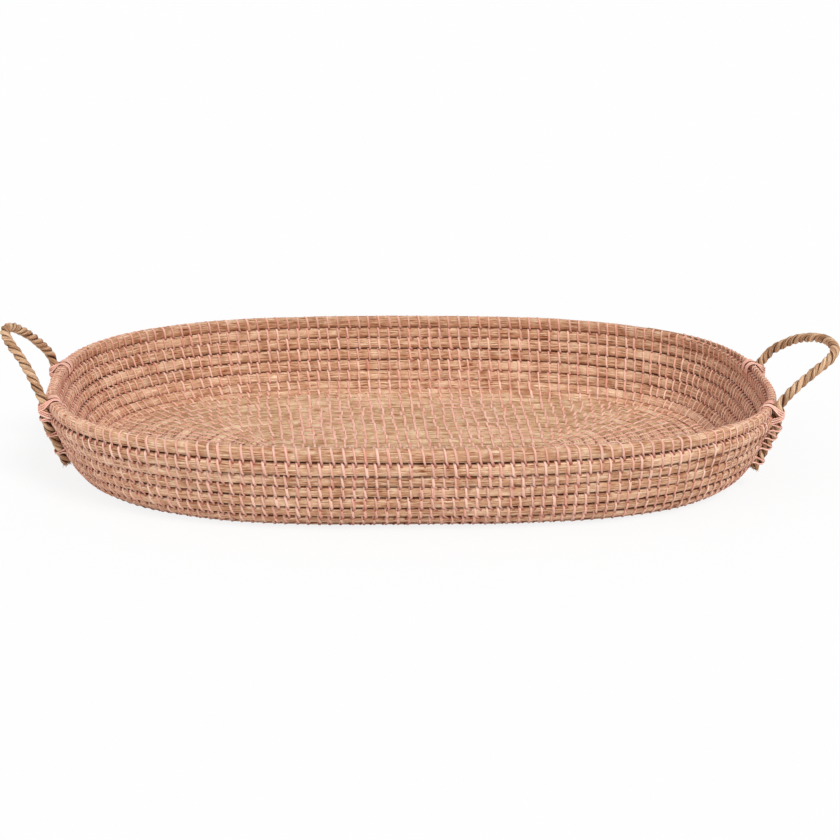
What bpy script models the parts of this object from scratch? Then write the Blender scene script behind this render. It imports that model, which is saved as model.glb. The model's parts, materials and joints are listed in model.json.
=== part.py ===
"""Oval changing basket of coiled seagrass, with a rope handle lashed to each end.

One bundle of stems is wound from a straight start into a flat oval floor, then stacked up a flared
wall, and thins out on top of the rim. Each handle is a seagrass rope: a loop that swings on its two
rim lashings, and two legs that run down the outside of the wall under more lashings.

X runs along the basket, Y across it and Z up. The origin is on the ground, under the middle of the
basket with its handles.
"""

import math

import bmesh
import bpy
import numpy as np

# Basket, over all
RIM_LENGTH = 0.800
RIM_WIDTH = 0.500

# The right handle hangs out further, so the rim's middle lies this far to the left of the origin
RIM_MIDDLE_LEFT = 0.0054

# Coiled bundle: the spacing of its courses, the clear gap between them, and the gap at a cut end
COIL_PITCH = 0.01385
COURSE_GAP = 0.00125
END_GAP = 0.0003
COIL_SIDES = 6

# The bundle is thin where it starts, and full after this many courses
START_SIZE_SHARE = 0.85
START_COURSES = 2

# Lean of each step between courses away from the vertical, from the floor up to the rim
WALL_LEANS = (84.0, 57.0, 39.0, 27.0, 20.0, 20.0, 22.0, 3.0)

# Plan of the rim: the power of its oval, and the normals of the corners of a quarter course
OVAL_POWER = 2.66
QUARTER_NORMALS = (0.0, 12.0, 31.0, 48.0, 65.0, 81.0, 90.0)

# The bundle's end thins out on top of the rim, and stops at this share of the climb
END_CLIMB_SHARE = 0.9

# Handle rope
ROPE_DIAMETER = 0.0107
SEAT_GAP = 0.0003
ROPE_SIDES = 8
HINGE_ABOVE_RIM = 0.0060
BALL_ANGLES = (40.0, 70.0)

# Each end: its side, the places of its far and near rim lashings, the height of the loop over its
# hinge line, how far its top hangs out, and where its legs are lashed and end, in courses below the
# rim. A place counts the rim's corners, from the middle of the near side to the right, and adds the
# share of the way to the next corner.
LEFT_SIDE = -1
LEFT_FAR_PLACE = 17.38
LEFT_NEAR_PLACE = 19.26
LEFT_LOOP_RISE = 0.064
LEFT_LOOP_REACH = 0.046
LEFT_LASHING_COURSES = (0.85, 2.0, 3.6)
LEFT_LEG_COURSES = 4.6
RIGHT_SIDE = 1
RIGHT_FAR_PLACE = 6.56
RIGHT_NEAR_PLACE = 4.24
RIGHT_LOOP_RISE = 0.0558
RIGHT_LOOP_REACH = 0.0605
RIGHT_LASHING_COURSES = (1.0, 1.6, 2.6, 3.9)
RIGHT_LEG_COURSES = 4.6

# Routes of the loops: shares of the way from the far lashing to the near one, of the rise and of
# the reach
LEFT_ROUTE_SHARES = (
    (0.005, 0.12, 0.05),
    (0.055, 0.30, 0.15),
    (0.20, 0.64, 0.455),
    (0.39, 0.92, 0.805),
    (0.60, 0.98, 0.92),
    (0.74, 0.85, 0.77),
    (0.84, 0.66, 0.52),
    (0.93, 0.42, 0.28),
    (0.985, 0.16, 0.10),
)
RIGHT_ROUTE_SHARES = (
    (0.01, 0.14, 0.065),
    (0.055, 0.40, 0.24),
    (0.20, 0.74, 0.605),
    (0.45, 0.95, 0.915),
    (0.72, 1.00, 1.00),
    (0.88, 0.90, 0.86),
    (0.93, 0.66, 0.57),
    (0.96, 0.38, 0.28),
    (0.99, 0.14, 0.07),
)

# Lashing strand: the spacing of its turns on a leg, and how far round the rope they reach
STRAND_DIAMETER = 0.0017
STRAND_SIDES = 4
LEG_LASHING_TURNS = 3
LEG_TURN_PITCH = 0.0024
LEG_TURN_REACH = 130.0
LEG_TURN_POINTS = 9

# Turns of a rim lashing: the first one's drop below the rim's middle, then their spacing
RIM_LASHING_TURNS = 3
RIM_TURN_DROP = 0.0012
RIM_TURN_PITCH_DOWN = 0.0024
RIM_TURN_PITCH_ALONG = 0.0024
RIM_TURN_FOOT = 225.0
RIM_TURN_STEP = 25.0
RIM_TURN_REACH = 90.0
RIM_TURN_POINTS = 7

# Share of a course over which the wall's slope is taken
FRAME_STEP_SHARE = 0.01

# Samples of a smooth curve between two of its points, and the distance at which points are merged
SMOOTH_SAMPLES = 30
MERGE_DISTANCE = 3e-6

# Gaps of a tube to itself are measured this many diameters apart along it
SELF_GAP_DIAMETERS = 4

COIL_DIAMETER = COIL_PITCH - COURSE_GAP
COIL_RADIUS = COIL_DIAMETER / 2
ROPE_RADIUS = ROPE_DIAMETER / 2
STRAND_RADIUS = STRAND_DIAMETER / 2
GROUND_CUT = COIL_DIAMETER / 10
WALL_COURSES = len(WALL_LEANS)
HALF_LENGTH = RIM_LENGTH / 2 - COIL_RADIUS
HALF_WIDTH = RIM_WIDTH / 2 - COIL_RADIUS
HALF_START = HALF_LENGTH - HALF_WIDTH
ROPE_SEAT = COIL_RADIUS + SEAT_GAP + ROPE_RADIUS
LEG_TURN_RADIUS = ROPE_RADIUS + SEAT_GAP + STRAND_RADIUS

SEAGRASS = ("seagrass", (0.60, 0.43, 0.27, 1.0), 0.75)
ROPE = ("rope", (0.62, 0.45, 0.25, 1.0), 0.8)
STRAND = ("strand", (0.80, 0.42, 0.36, 1.0), 0.6)


def clear_scene():
    """Removes the objects of the scene that the script starts in."""
    for thing in list(bpy.data.objects):
        bpy.data.objects.remove(thing)


def finish(name, colour, roughness):
    """A Principled material of one colour and roughness."""
    material = bpy.data.materials.new(name)
    material.use_nodes = True
    shader = material.node_tree.nodes["Principled BSDF"]
    shader.inputs["Base Color"].default_value = colour
    shader.inputs["Roughness"].default_value = roughness
    return material


def sine(angle):
    """Sine of an angle in degrees."""
    return math.sin(math.radians(angle))


def cosine(angle):
    """Cosine of an angle in degrees."""
    return math.cos(math.radians(angle))


def unit(way):
    """A direction of length one."""
    return way / np.linalg.norm(way)


def rows_from_floor():
    """Half width and height of the floor's last course and of each wall course, up to the rim."""
    outward, rise = [0.0], [0.0]
    for lean in WALL_LEANS:
        outward.append(outward[-1] + COIL_PITCH * sine(lean))
        rise.append(rise[-1] + COIL_PITCH * cosine(lean))
    floor_half_width = HALF_WIDTH - outward[-1]
    floor_height = COIL_RADIUS - GROUND_CUT
    return np.array(outward) + floor_half_width, np.array(rise) + floor_height


ROW_WIDTHS, ROW_HEIGHTS = rows_from_floor()
FLOOR_COURSES = int(ROW_WIDTHS[0] / COIL_PITCH - 0.5)
FLOOR_PITCH = ROW_WIDTHS[0] / (FLOOR_COURSES + 0.5)
RIM_COURSE = FLOOR_COURSES + WALL_COURSES
HINGE_COURSE = RIM_COURSE + HINGE_ABOVE_RIM / COIL_PITCH


def smooth_at(values, place):
    """Catmull-Rom curve through evenly spaced values, carried on straight past the last."""
    last = len(values) - 1
    if place >= last:
        return values[last] + (place - last) * (values[last] - values[last - 1])
    i = int(place)
    t = place - i
    start, end = values[i], values[i + 1]
    before = values[i - 1] if i else 2 * start - end
    beyond = values[i + 2] if i + 2 <= last else 2 * end - start
    bend = (3 - 2 * t) * t**2 * (end - start) + start
    return bend + (t - 1) ** 2 * t * (end - before) / 2 + (t - 1) * t**2 * (beyond - start) / 2


def course_size(course):
    """Half width and height of the bundle's centre line at a course, counted from the start."""
    if course <= FLOOR_COURSES:
        return FLOOR_PITCH * (course + 0.5), ROW_HEIGHTS[0]
    step = course - FLOOR_COURSES
    return smooth_at(ROW_WIDTHS, step), smooth_at(ROW_HEIGHTS, step)


def oval_point(half_width, normal):
    """Plan point of a course whose outward normal is at an angle in degrees from +X.

    The rim is an oval |x/a|^n + |y/b|^n = 1. A smaller course is the rim drawn in towards the
    straight start, so that the courses lie side by side.
    """
    across = sine(normal)
    along = 0.0 if normal % 180 == 90 else cosine(normal)
    power = OVAL_POWER / (OVAL_POWER - 1)
    x_part, y_part = abs(HALF_LENGTH * along), abs(HALF_WIDTH * across)
    size = (x_part**power + y_part**power) ** (1 / power - 1)
    rim_x = HALF_LENGTH * x_part ** (power - 1) * size
    rim_y = HALF_WIDTH * y_part ** (power - 1) * size
    share = half_width / HALF_WIDTH
    x = rim_x * share + (1 - share) * HALF_START * (along != 0.0)
    return math.copysign(x, along), math.copysign(rim_y * share, across)


def coil_point(course, normal):
    """Point of the centre line at a course and a plan normal."""
    half_width, height = course_size(course)
    x, y = oval_point(half_width, normal)
    return np.array([x - RIM_MIDDLE_LEFT, y, height])


def climb(normal):
    """Share of a course that a loop has climbed: nothing at the near side, all at the far side.

    It climbs round the right end only, so that each course is level along both sides.
    """
    return (1 + sine(min(normal, 90.0))) / 2


def loop_normals():
    """Plan normals of a loop's corners, from the middle of the near side right round to there."""
    quarter = list(QUARTER_NORMALS)
    right = [-angle for angle in reversed(quarter)] + quarter[1:]
    return right + [180 - angle for angle in reversed(right[:-1])]


LOOP_NORMALS = loop_normals()
RIGHT_NORMALS = [normal for normal in LOOP_NORMALS if normal <= 90]
LEFT_NORMALS = [normal for normal in LOOP_NORMALS if 90 < normal < 270]


def loop_points(course):
    """The loop that starts at this course in the middle of the near side, without its last corner."""
    return [coil_point(course + climb(normal), normal) for normal in LOOP_NORMALS[:-1]]


def square_end(course, way):
    """End of a node of the coil on the near side: square, and straight for one diameter."""
    middle = coil_point(course, -90.0)
    end = middle + np.array([way * END_GAP / 2, 0.0, 0.0])
    return end, end + np.array([way * COIL_DIAMETER, 0.0, 0.0])


def floor_route():
    """A hairpin start along the far side, then flat loops out to the floor's last course."""
    points = [coil_point(0, normal) for normal in RIGHT_NORMALS[-2:] + LEFT_NORMALS]
    sizes = [START_SIZE_SHARE] * len(points)
    for course in range(FLOOR_COURSES):
        for normal in LOOP_NORMALS[:-1]:
            grown = min(1.0, (course + climb(normal)) / START_COURSES)
            points.append(coil_point(course + climb(normal), normal))
            sizes.append(START_SIZE_SHARE + (1 - START_SIZE_SHARE) * grown)
    end, inner = square_end(FLOOR_COURSES, -1)
    return points + [inner, end], sizes + [1.0, 1.0]


def wall_route():
    """Loops from the floor's last course up to the one below the rim."""
    end, inner = square_end(FLOOR_COURSES, 1)
    points = [end, inner] + loop_points(FLOOR_COURSES)[1:]
    for course in range(FLOOR_COURSES + 1, RIM_COURSE - 1):
        points += loop_points(course)
    end, inner = square_end(RIM_COURSE - 1, -1)
    return points + [inner, end], [1.0] * (len(points) + 2)


def rim_route():
    """The last loop, and its end, which thins out on top of the loop's own climb."""
    end, inner = square_end(RIM_COURSE - 1, 1)
    points = [end, inner] + loop_points(RIM_COURSE - 1)[1:]
    sizes = [1.0] * len(points)
    for normal in RIGHT_NORMALS:
        if climb(normal) < END_CLIMB_SHARE:
            points.append(coil_point(RIM_COURSE + climb(normal) / 2, normal))
            sizes.append(1 - climb(normal))
    return points, sizes


def least_gap(points, radii):
    """Least gap between stretches of a tube that lie well apart along it."""
    points = np.array(points)
    places = np.concatenate([[0.0], np.cumsum(np.linalg.norm(np.diff(points, axis=0), axis=1))])
    spacing = min(radii.max(), places[-1] / len(points))
    even = np.linspace(0, places[-1], int(places[-1] / spacing))
    dense = np.stack([np.interp(even, places, points[:, axis]) for axis in range(3)], axis=1)
    thick = np.interp(even, places, radii)
    least = math.inf
    for i, point in enumerate(dense):
        apart = even > even[i] + 2 * SELF_GAP_DIAMETERS * radii.max()
        if apart.any():
            gaps = np.linalg.norm(dense[apart] - point, axis=1) - thick[apart] - thick[i]
            least = min(least, gaps.min())
    return least


def tube(name, points, radius, sides, material, sizes=(), twist="MINIMUM"):
    """A tube of flat-sided section along points, closed at both ends, as a curve with a bevel."""
    curve = bpy.data.curves.new(name, "CURVE")
    curve.dimensions = "3D"
    curve.twist_mode = twist
    curve.bevel_depth = radius
    curve.bevel_resolution = (sides - 4) // 2
    curve.use_fill_caps = True
    spline = curve.splines.new("POLY")
    spline.points.add(len(points) - 1)
    for i, point in enumerate(points):
        spline.points[i].co = (*point, 1.0)
        spline.points[i].radius = sizes[i] if sizes else 1.0
    curve.materials.append(material)
    thing = bpy.data.objects.new(name, curve)
    bpy.context.collection.objects.link(thing)
    return thing


def stand_flat(thing):
    """Makes a tube a mesh and cuts it flat along the ground."""
    graph = bpy.context.evaluated_depsgraph_get()
    mesh = bpy.data.meshes.new_from_object(thing.evaluated_get(graph))
    shape = bmesh.new()
    shape.from_mesh(mesh)
    bmesh.ops.remove_doubles(shape, verts=shape.verts, dist=MERGE_DISTANCE)
    cut = bmesh.ops.bisect_plane(
        shape,
        geom=shape.verts[:] + shape.edges[:] + shape.faces[:],
        plane_co=(0, 0, 0),
        plane_no=(0, 0, -1),
        clear_outer=True,
    )
    outline = [edge for edge in cut["geom_cut"] if isinstance(edge, bmesh.types.BMEdge)]
    bmesh.ops.triangle_fill(shape, edges=outline, use_beauty=True, normal=(0, 0, -1))
    bmesh.ops.recalc_face_normals(shape, faces=shape.faces)
    shape.to_mesh(mesh)
    shape.free()
    name = thing.name
    bpy.data.objects.remove(thing)
    mesh.name = name
    solid = bpy.data.objects.new(name, mesh)
    bpy.context.collection.objects.link(solid)


def make_coil(material):
    """The floor, the wall and the rim: three stretches of one bundle."""
    routes = {"floor_coil": floor_route(), "wall_coil": wall_route(), "rim_coil": rim_route()}
    for name, (points, sizes) in routes.items():
        gap = least_gap(points, COIL_RADIUS * np.array(sizes))
        print(f"{name}: {len(points)} points, least gap to itself {gap * 1000:.2f} mm")
        thing = tube(name, points, COIL_RADIUS, COIL_SIDES, material, sizes, "Z_UP")
        if name != "rim_coil":
            stand_flat(thing)


def rim_place(count):
    """A place on the rim: the plan normals of its stretch's two corners, and the share of the way."""
    corner = int(count)
    return LOOP_NORMALS[corner], LOOP_NORMALS[corner + 1], count - corner


def climb_at(place):
    """Share of a course that a loop has climbed at a place."""
    first, second, share = place
    return (1 - share) * climb(first) + share * climb(second)


def stretch_ends(course, place):
    """Ends of the straight stretch that passes through a course at a place."""
    first, second, _ = place
    near_side = course - climb_at(place)
    return coil_point(near_side + climb(first), first), coil_point(near_side + climb(second), second)


def wall_point(course, place):
    """Point of the wall's middle surface at a course and a place."""
    start, end = stretch_ends(course, place)
    return start + (end - start) * place[2]


def wall_frame(course, place):
    """Directions along the bundle, up the wall and out of the wall."""
    start, end = stretch_ends(course, place)
    along = unit(end - start)
    rise = wall_point(course + FRAME_STEP_SHARE, place) - wall_point(course - FRAME_STEP_SHARE, place)
    out = unit(np.cross(along, rise))
    return along, np.cross(out, along), out


def rope_centre(course, place):
    """Centre of a rope that lies on the outside of the wall."""
    return wall_point(course, place) + wall_frame(course, place)[2] * ROPE_SEAT


def smooth_route(points, spacing):
    """Evenly spaced points on a smooth curve through the given ones."""
    points = np.array(points)
    fine = np.linspace(0, len(points) - 1, SMOOTH_SAMPLES * len(points))
    curve = np.array([[smooth_at(points[:, axis], place) for axis in range(3)] for place in fine])
    places = np.concatenate([[0.0], np.cumsum(np.linalg.norm(np.diff(curve, axis=0), axis=1))])
    even = np.linspace(0, places[-1], round(places[-1] / spacing) + 1)
    return np.stack([np.interp(even, places, curve[:, axis]) for axis in range(3)], axis=1)


def half_ball(end, way):
    """Points and sizes that close a rope with a half ball round its end point."""
    points = [end + way * ROPE_RADIUS * sine(angle) for angle in BALL_ANGLES]
    return points, [cosine(angle) for angle in BALL_ANGLES]


def loop_route(far, near, side, rise, reach, shares):
    """A loop's centre line from its far hinge point to its near one."""
    across = near - far
    out = unit(np.array([across[1], -across[0], 0.0]))
    out *= math.copysign(1.0, out[0] * side)
    points = [far]
    for along_share, rise_share, reach_share in shares:
        up = np.array([0.0, 0.0, rise * rise_share])
        points.append(far + across * along_share + out * reach * reach_share + up)
    return list(smooth_route(points + [near], ROPE_DIAMETER))


def make_loop(name, route, material):
    """A handle's loop, with half a ball round each hinge point, under an empty on its hinge line."""
    far_points, far_sizes = half_ball(route[0], unit(route[0] - route[1]))
    near_points, near_sizes = half_ball(route[-1], unit(route[-1] - route[-2]))
    sizes = far_sizes[::-1] + [1.0] * len(route) + near_sizes
    middle = (route[0] + route[-1]) / 2
    axis = unit(route[-1] - route[0])
    length = np.linalg.norm(np.diff(route, axis=0), axis=1).sum()
    print(f"{name}: {length:.3f} m of rope, hinge {middle.round(5)}, axis {axis.round(5)}")
    hinge = bpy.data.objects.new(name + "_hinge", None)
    hinge.location = middle
    bpy.context.collection.objects.link(hinge)
    local = [point - middle for point in far_points[::-1] + route + near_points]
    loop = tube(name, local, ROPE_RADIUS, ROPE_SIDES, material, sizes)
    loop.parent = hinge


def make_leg(name, place, courses, material):
    """The rope's run down the outside of the wall."""
    top = HINGE_COURSE - (ROPE_RADIUS + SEAT_GAP) / COIL_PITCH
    steps = np.linspace(top, RIM_COURSE - courses, 2 * math.ceil(courses) + 1)
    tube(name, [rope_centre(course, place) for course in steps], ROPE_RADIUS, ROPE_SIDES, material)


def leg_lashing(name, course, place, material):
    """Turns of strand over a leg, one unbroken run that doubles back from turn to turn."""
    centre = rope_centre(course, place)
    along, up, out = wall_frame(course, place)
    angles = np.linspace(-LEG_TURN_REACH, LEG_TURN_REACH, LEG_TURN_POINTS)
    points = []
    for turn in range(LEG_LASHING_TURNS):
        middle = centre + up * ((LEG_LASHING_TURNS - 1) / 2 - turn) * LEG_TURN_PITCH
        for angle in angles if turn % 2 == 0 else angles[::-1]:
            points.append(middle + (out * cosine(angle) + along * sine(angle)) * LEG_TURN_RADIUS)
    tube(name, points, STRAND_RADIUS, STRAND_SIDES, material)


def rim_section(place, out, up):
    """The bundles at the rim as discs, each out, up and radius, from the wall's middle there."""
    middle = wall_point(RIM_COURSE, place)
    climbed = climb_at(place)
    discs = [(RIM_COURSE - 1 + climbed, COIL_RADIUS)]
    if climbed < END_CLIMB_SHARE:
        discs.append((RIM_COURSE + climbed / 2, COIL_RADIUS * (1 - climbed)))
    section = []
    for course, radius in discs:
        offset = wall_point(course, place) - middle
        section.append((offset @ out, offset @ up, radius))
    return section


def round_section(section, angle):
    """Point of a taut strand round the discs, out and up, where it faces in a direction."""
    facing = [out * cosine(angle) + up * sine(angle) + radius for out, up, radius in section]
    out, up, radius = section[facing.index(max(facing))]
    reach = (radius + SEAT_GAP + STRAND_RADIUS) / cosine(RIM_TURN_STEP / 2)
    return out + reach * cosine(angle), up + reach * sine(angle)


def over_rim(section, drop):
    """Points out and up that take a strand from the rope's side over the rim to its inner crease."""
    angle = RIM_TURN_FOOT
    points = [round_section(section, angle)]
    while angle > 0:
        angle -= RIM_TURN_STEP
        out, up = round_section(section, angle)
        towards = (ROPE_SEAT - out) * cosine(angle) + (-drop - up) * sine(angle)
        if towards > 0:
            break
        points.append((out, up))
    return points


def rim_turn(turn, section, middle, along, up, out):
    """One turn of a rim lashing, from the crease inside the rim, over it, round the rope and back."""
    drop = RIM_TURN_DROP + turn * RIM_TURN_PITCH_DOWN
    spread = LEG_TURN_RADIUS + turn * RIM_TURN_PITCH_ALONG
    rise = [out * o + up * u for o, u in over_rim(section, drop)]
    points = [middle + point - along * spread for point in rise]
    for angle in np.linspace(-RIM_TURN_REACH, RIM_TURN_REACH, RIM_TURN_POINTS):
        turned = (out * cosine(angle) + along * sine(angle)) * LEG_TURN_RADIUS
        points.append(middle + out * ROPE_SEAT + turned - up * drop)
    return points + [middle + point + along * spread for point in reversed(rise)]


def rim_lashing(name, place, material):
    """Turns of strand over the rim and round the rope, in one unbroken run."""
    along, up, out = wall_frame(RIM_COURSE, place)
    section = rim_section(place, out, up)
    points = []
    for turn in range(RIM_LASHING_TURNS):
        run = rim_turn(turn, section, wall_point(RIM_COURSE, place), along, up, out)
        points += run if turn % 2 == 0 else run[::-1]
    tube(name, points, STRAND_RADIUS, STRAND_SIDES, material)


def make_handle(end, side, far, near, rise, reach, shares, lashing_courses, leg_courses, rope, strand):
    """A handle: its swinging loop, its two legs on the wall and all their lashings."""
    places = {"far": rim_place(far), "near": rim_place(near)}
    hinges = {leg: rope_centre(HINGE_COURSE, place) for leg, place in places.items()}
    route = loop_route(hinges["far"], hinges["near"], side, rise, reach, shares)
    make_loop(f"{end}_handle_loop", route, rope)
    for leg, place in places.items():
        make_leg(f"{end}_{leg}_leg", place, leg_courses, rope)
        rim_lashing(f"{end}_{leg}_rim_lashing", place, strand)
        for number, course in enumerate(lashing_courses, 1):
            leg_lashing(f"{end}_{leg}_lashing_{number}", RIM_COURSE - course, place, strand)


def main():
    """Builds the basket."""
    clear_scene()
    rope = finish(*ROPE)
    strand = finish(*STRAND)
    make_coil(finish(*SEAGRASS))
    make_handle(
        "left", LEFT_SIDE, LEFT_FAR_PLACE, LEFT_NEAR_PLACE, LEFT_LOOP_RISE, LEFT_LOOP_REACH,
        LEFT_ROUTE_SHARES, LEFT_LASHING_COURSES, LEFT_LEG_COURSES, rope, strand,
    )
    make_handle(
        "right", RIGHT_SIDE, RIGHT_FAR_PLACE, RIGHT_NEAR_PLACE, RIGHT_LOOP_RISE, RIGHT_LOOP_REACH,
        RIGHT_ROUTE_SHARES, RIGHT_LASHING_COURSES, RIGHT_LEG_COURSES, rope, strand,
    )


main()
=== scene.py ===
# %% [markdown]
# # A coiled changing basket
# A long shallow tray that a baby is laid in for a change of clothes. It is coiled, which is sewing and
# not weaving: one fat bundle of dry seagrass stems is wound into an oval, and a flat strand of pink
# palm leaf sews each course to the one below. A twisted rope handle is lashed to each end.
#
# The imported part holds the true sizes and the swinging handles. This lesson dresses it: each bundle,
# stitch, rope strand and lashing is a surface worked out with numpy from the same sizes.

# %% The frame
import json
import math

import bpy
import numpy as np
from mathutils import Matrix, Vector

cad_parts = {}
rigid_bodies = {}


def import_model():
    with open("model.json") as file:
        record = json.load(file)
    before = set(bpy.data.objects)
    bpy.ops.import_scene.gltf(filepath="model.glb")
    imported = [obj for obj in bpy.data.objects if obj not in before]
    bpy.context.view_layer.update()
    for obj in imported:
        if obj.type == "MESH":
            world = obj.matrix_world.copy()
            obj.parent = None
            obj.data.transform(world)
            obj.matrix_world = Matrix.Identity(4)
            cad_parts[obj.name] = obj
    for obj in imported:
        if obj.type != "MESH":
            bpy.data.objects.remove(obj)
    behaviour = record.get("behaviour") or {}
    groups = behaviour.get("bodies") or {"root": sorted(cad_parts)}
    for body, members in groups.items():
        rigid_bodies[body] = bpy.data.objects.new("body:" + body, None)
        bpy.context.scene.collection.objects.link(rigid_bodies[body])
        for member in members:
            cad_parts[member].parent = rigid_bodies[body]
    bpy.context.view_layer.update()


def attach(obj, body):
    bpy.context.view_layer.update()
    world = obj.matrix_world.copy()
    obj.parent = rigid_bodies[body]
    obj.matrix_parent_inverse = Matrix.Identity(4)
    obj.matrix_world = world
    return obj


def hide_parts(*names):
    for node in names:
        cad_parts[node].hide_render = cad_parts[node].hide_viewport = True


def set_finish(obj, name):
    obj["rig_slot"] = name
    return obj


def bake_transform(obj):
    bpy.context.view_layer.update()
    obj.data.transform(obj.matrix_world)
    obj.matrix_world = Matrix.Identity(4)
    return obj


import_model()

# %% [markdown]
# ## The camera
# The basket was photographed from 19 degrees above, a little to its left, with a lens of about 72 mm.
# The camera below stands in the same place. A shift of under one per cent puts the basket where it lies
# in the frame.

# %% The camera
CAMERA_RISE = math.radians(18.8)
CAMERA_TURN = math.radians(-3.42)
CAMERA_TILT = math.radians(-0.89)
CAMERA_DISTANCE = 1.893
CAMERA_AIM = Vector((-0.0054, 0.0, 0.05))
LENS_LENGTH, SENSOR_WIDTH = 72.02, 36.0
LENS_SHIFT_X, LENS_SHIFT_Y = 0.00896, -0.00720


def put(name, data):
    """A new object with this name and data, linked into the scene."""
    thing = bpy.data.objects.new(name, data)
    bpy.context.scene.collection.objects.link(thing)
    return thing


back = Vector((
    math.sin(CAMERA_TURN) * math.cos(CAMERA_RISE),
    -math.cos(CAMERA_TURN) * math.cos(CAMERA_RISE),
    math.sin(CAMERA_RISE),
))
level = Vector((math.cos(CAMERA_TURN), math.sin(CAMERA_TURN), 0.0))
above = back.cross(level)
camera_right = math.cos(CAMERA_TILT) * level - math.sin(CAMERA_TILT) * above
camera_up = math.sin(CAMERA_TILT) * level + math.cos(CAMERA_TILT) * above

lens = bpy.data.cameras.new("camera")
lens.sensor_width = SENSOR_WIDTH
lens.lens = LENS_LENGTH
lens.shift_x = LENS_SHIFT_X
lens.shift_y = LENS_SHIFT_Y
camera = put("camera", lens)
camera.matrix_world = Matrix((camera_right, camera_up, back)).transposed().to_4x4()
camera.location = CAMERA_AIM + CAMERA_DISTANCE * back
bpy.context.scene.camera = camera
print("camera at", [round(value, 3) for value in camera.location])

# %% [markdown]
# ## The path of the bundle
# A coiled basket is one spiral. Each course is an oval that runs beside the last one: flat on the
# ground for thirteen courses, then up a wall that starts almost level and ends almost upright. To keep
# both long sides level, the spiral climbs one course only while it goes round the right end.
#
# The path could be drawn as a curve by hand, but then no two courses would lie snugly. Here each
# point comes from two numbers, the course and the way its outside faces, so neighbours always fit.

# %% The sizes of the courses
RIM_LENGTH, RIM_WIDTH = 0.800, 0.500
RIM_MIDDLE_LEFT = 0.0054
COURSE_PITCH = 0.01385
CAD_RADIUS = 0.0063
WALL_LEANS = np.radians([84.0, 57.0, 39.0, 27.0, 20.0, 20.0, 22.0, 3.0])
OVAL_POWER = 2.66
FLOOR_HEIGHT = 0.00504

HALF_LENGTH = RIM_LENGTH / 2 - CAD_RADIUS
HALF_WIDTH = RIM_WIDTH / 2 - CAD_RADIUS
HALF_START = HALF_LENGTH - HALF_WIDTH
steps_out = np.concatenate([[0.0], np.cumsum(COURSE_PITCH * np.sin(WALL_LEANS))])
steps_up = np.concatenate([[0.0], np.cumsum(COURSE_PITCH * np.cos(WALL_LEANS))])
ROW_WIDTHS = HALF_WIDTH - steps_out[-1] + steps_out
ROW_HEIGHTS = FLOOR_HEIGHT + steps_up
FLOOR_COURSES = int(ROW_WIDTHS[0] / COURSE_PITCH - 0.5)
FLOOR_PITCH = ROW_WIDTHS[0] / (FLOOR_COURSES + 0.5)
RIM_COURSE = FLOOR_COURSES + len(WALL_LEANS)
print(FLOOR_COURSES, "floor courses,", len(WALL_LEANS), "wall courses")


# %% Where a course runs
def smooth_at(values, place):
    """Catmull-Rom: a cubic through evenly spaced values, and a straight line past the last.

    Its slope at each value is half the step between that value's neighbours.
    """
    last = len(values) - 1
    padded = np.concatenate([[2 * values[0] - values[1]], values, [2 * values[-1] - values[-2]]])
    cell = np.clip(place, 0, last - 1e-9).astype(int)
    share = place - cell
    before, start, end, beyond = (padded[cell + shift] for shift in range(4))
    bend = (3 - 2 * share) * share**2 * (end - start) + start
    bend += (share - 1) ** 2 * share * (end - before) / 2
    bend += (share - 1) * share**2 * (beyond - start) / 2
    straight = values[-1] + (place - last) * (values[-1] - values[-2])
    return np.where(place > last, straight, bend)


def course_point(course, facing):
    """Centre of the bundle at a course, where its outside faces an angle in degrees from +X in plan.

    The rim is the oval |x/a|^n + |y/b|^n = 1, found from the way it faces. A smaller course is the rim
    drawn in evenly towards the straight start in the middle of the floor.
    """
    course, facing = np.broadcast_arrays(np.asarray(course, float), np.asarray(facing, float))
    above_floor = course - FLOOR_COURSES
    half_width = np.where(above_floor <= 0, FLOOR_PITCH * (course + 0.5), smooth_at(ROW_WIDTHS, above_floor))
    height = np.where(above_floor <= 0, FLOOR_HEIGHT, smooth_at(ROW_HEIGHTS, above_floor))
    along, across = np.cos(np.radians(facing)), np.sin(np.radians(facing))
    along = np.where(np.abs(along) < 1e-9, 0.0, along)
    power = OVAL_POWER / (OVAL_POWER - 1)
    x_part, y_part = np.abs(HALF_LENGTH * along), np.abs(HALF_WIDTH * across)
    size = (x_part**power + y_part**power) ** (1 / power - 1)
    share = half_width / HALF_WIDTH
    x = HALF_LENGTH * x_part ** (power - 1) * size * share + (1 - share) * HALF_START * (along != 0.0)
    y = HALF_WIDTH * y_part ** (power - 1) * size * share
    return np.stack([np.copysign(x, along) - RIM_MIDDLE_LEFT, np.copysign(y, across), height], axis=-1)


def climb(facing):
    """Share of a course climbed: half of one plus the sine round the right end, and then all of it."""
    return (1 + np.sin(np.radians(np.minimum(facing, 90.0)))) / 2


def unit(ways):
    """Directions of length one."""
    return ways / np.linalg.norm(ways, axis=-1, keepdims=True)


# %% [markdown]
# ## Counting the stitches
# The sewer keeps one gap between stitches, about 11 mm on the near side and 13 mm on the far side, so
# the stitches of neighbouring courses stand in columns. On the floor each course starts its stitches
# a little further on, and the columns lean. Round the ends the gaps stretch or shrink a little, so that
# the columns of the next long side line up again, and on the wall they are a third closer there.
#
# The whole spiral is first laid out as one long table: place, directions, size and stitch count.

# %% The spiral as one table
NEAR_SPACING, FAR_SPACING = 0.0111, 0.0127
END_CLOSER = 0.30
FLOOR_COLUMN_DRIFT = 0.0002
TURN_SAMPLES, TURN_CROWDING = 700, 2.5
START_FACING, START_SIZE = 2.0, 0.97
RIM_THINNING = 0.06
END_CLIMB_SHARE = 0.93
EASE_ANGLE = 50.0


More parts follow.
